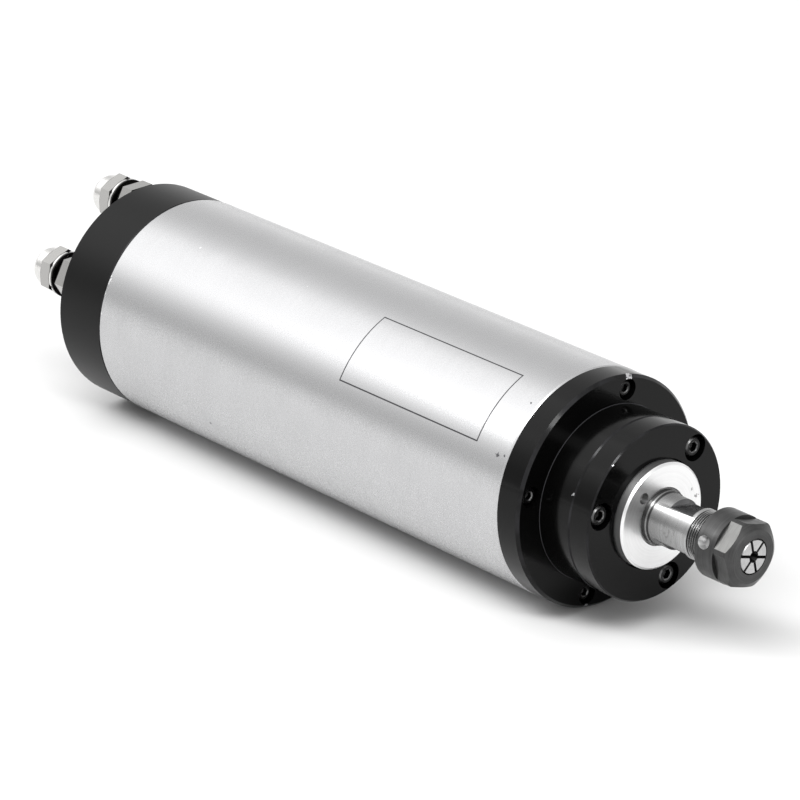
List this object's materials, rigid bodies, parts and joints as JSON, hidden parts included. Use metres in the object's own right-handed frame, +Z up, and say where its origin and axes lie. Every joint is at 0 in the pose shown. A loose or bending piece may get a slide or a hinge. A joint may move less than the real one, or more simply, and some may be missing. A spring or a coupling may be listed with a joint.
{
  "type": "motor spindle",
  "caption": "Round water-cooled motor spindle with a flanged nose, spring collet and nut, two hose fittings and a panel socket.",
  "frame": {"origin": "on the spindle axis, at the middle of the round tube that a clamp holds", "axes": "+X along the spindle axis towards the collet nose, +Z up as the motor lies on its side"},
  "size_m": [0.2688, 0.065, 0.0652],
  "materials": {
    "stainless_tube": "fine brushed along its round, satin",
    "cast_aluminium": "as machined",
    "rubber": "matt black",
    "lamination_steel": "stacked sheet, oiled",
    "copper": "varnished winding wire",
    "black_anodised": "black anodised, semi-gloss",
    "black_screw": "black oxide",
    "bearing_steel": "ground and polished",
    "ground_steel": "ground",
    "nickel_brass": "nickel plated",
    "bare_brass": "bare",
    "chrome_shell": "bright plated",
    "socket_plastic": "moulded",
    "wire_insulation": "extruded, satin",
    "cage_polyamide": "moulded, natural",
    "polished_steel": "turned and polished",
    "collet_steel": "ground spring steel",
    "dark_nut": "black oxide with ground flats"
  },
  "bodies": {
    "housing": {"body_tube": "stainless_tube", "water_jacket": "cast_aluminium", "jacket_seals": "rubber", "stator_core": "lamination_steel", "stator_windings": "copper", "front_housing": "black_anodised", "flange_screws": "black_screw", "front_cover": "black_anodised", "cover_screws": "black_screw", "front_bearing_outer_ring": "bearing_steel", "second_bearing_outer_ring": "bearing_steel", "outer_spacer": "ground_steel", "rear_housing": "cast_aluminium", "wave_washer": "ground_steel", "rear_bearing_outer_ring": "bearing_steel", "rear_cap": "black_anodised", "rear_cap_screws": "black_screw", "inlet_seal": "rubber", "inlet_fitting": "nickel_brass", "outlet_seal": "rubber", "outlet_fitting": "nickel_brass", "socket_shell": "chrome_shell", "socket_insert": "socket_plastic", "socket_pins": "bare_brass", "socket_nut": "chrome_shell", "lead_wires": "wire_insulation"},
    "rotor": {"shaft": "ground_steel", "rotor_core": "lamination_steel", "rotor_end_rings": "cast_aluminium", "front_bearing_inner_ring": "bearing_steel", "second_bearing_inner_ring": "bearing_steel", "inner_spacer": "ground_steel", "dust_cap": "polished_steel", "rear_bearing_inner_ring": "bearing_steel", "rear_lock_nut": "black_screw"},
    "front_ball_set": {"front_bearing_cage": "cage_polyamide", "front_bearing_balls": "bearing_steel"},
    "second_ball_set": {"second_bearing_cage": "cage_polyamide", "second_bearing_balls": "bearing_steel"},
    "rear_ball_set": {"rear_bearing_cage": "cage_polyamide", "rear_bearing_balls": "bearing_steel"},
    "collet": {"collet": "collet_steel"},
    "collet_nut": {"collet_nut": "dark_nut"},
    "inlet_olive": {"inlet_olive": "bare_brass"},
    "inlet_nut": {"inlet_nut": "nickel_brass"},
    "outlet_olive": {"outlet_olive": "bare_brass"},
    "outlet_nut": {"outlet_nut": "nickel_brass"}
  },
  "joints": [
    {"name": "rotor_spin", "type": "hinge", "parent": "housing", "child": "rotor", "pos_m": [0, 0, 0], "axis": [1, 0, 0], "continuous": true},
    {"name": "collet_slide", "type": "slide", "parent": "rotor", "child": "collet", "axis": [1, 0, 0], "range_m": [0, 0.006]},
    {"name": "collet_nut_turn", "type": "hinge", "parent": "collet", "child": "collet_nut", "pos_m": [0.13402, 0, 0], "axis": [1, 0, 0], "range_deg": [0, 2880]},
    {"name": "front_cage_turn", "type": "hinge", "parent": "housing", "child": "front_ball_set", "pos_m": [0.09925, 0, 0], "axis": [1, 0, 0], "continuous": true},
    {"name": "second_cage_turn", "type": "hinge", "parent": "housing", "child": "second_ball_set", "pos_m": [0.08825, 0, 0], "axis": [1, 0, 0], "continuous": true},
    {"name": "rear_cage_turn", "type": "hinge", "parent": "housing", "child": "rear_ball_set", "pos_m": [-0.07875, 0, 0], "axis": [1, 0, 0], "continuous": true},
    {"name": "inlet_nut_slide", "type": "slide", "parent": "housing", "child": "inlet_olive", "axis": [-1, 0, 0], "range_m": [0, 0.004]},
    {"name": "inlet_nut_turn", "type": "hinge", "parent": "inlet_olive", "child": "inlet_nut", "pos_m": [-0.11595, -0.02226, 0.00784], "axis": [-1, 0, 0], "range_deg": [0, 1440]},
    {"name": "outlet_nut_slide", "type": "slide", "parent": "housing", "child": "outlet_olive", "axis": [-1, 0, 0], "range_m": [0, 0.004]},
    {"name": "outlet_nut_turn", "type": "hinge", "parent": "outlet_olive", "child": "outlet_nut", "pos_m": [-0.11595, 0.00022, 0.0252], "axis": [-1, 0, 0], "range_deg": [0, 1440]}
  ],
  "couplings": [
    {"joint": "collet_nut_turn", "follows": "collet_slide", "rad_per_m": 8377.6},
    {"joint": "front_cage_turn", "follows": "rotor_spin", "ratio": 0.39872},
    {"joint": "second_cage_turn", "follows": "rotor_spin", "ratio": 0.39872},
    {"joint": "rear_cage_turn", "follows": "rotor_spin", "ratio": 0.388},
    {"joint": "inlet_nut_turn", "follows": "inlet_nut_slide", "rad_per_m": 6283.2},
    {"joint": "outlet_nut_turn", "follows": "outlet_nut_slide", "rad_per_m": 6283.2}
  ]
}
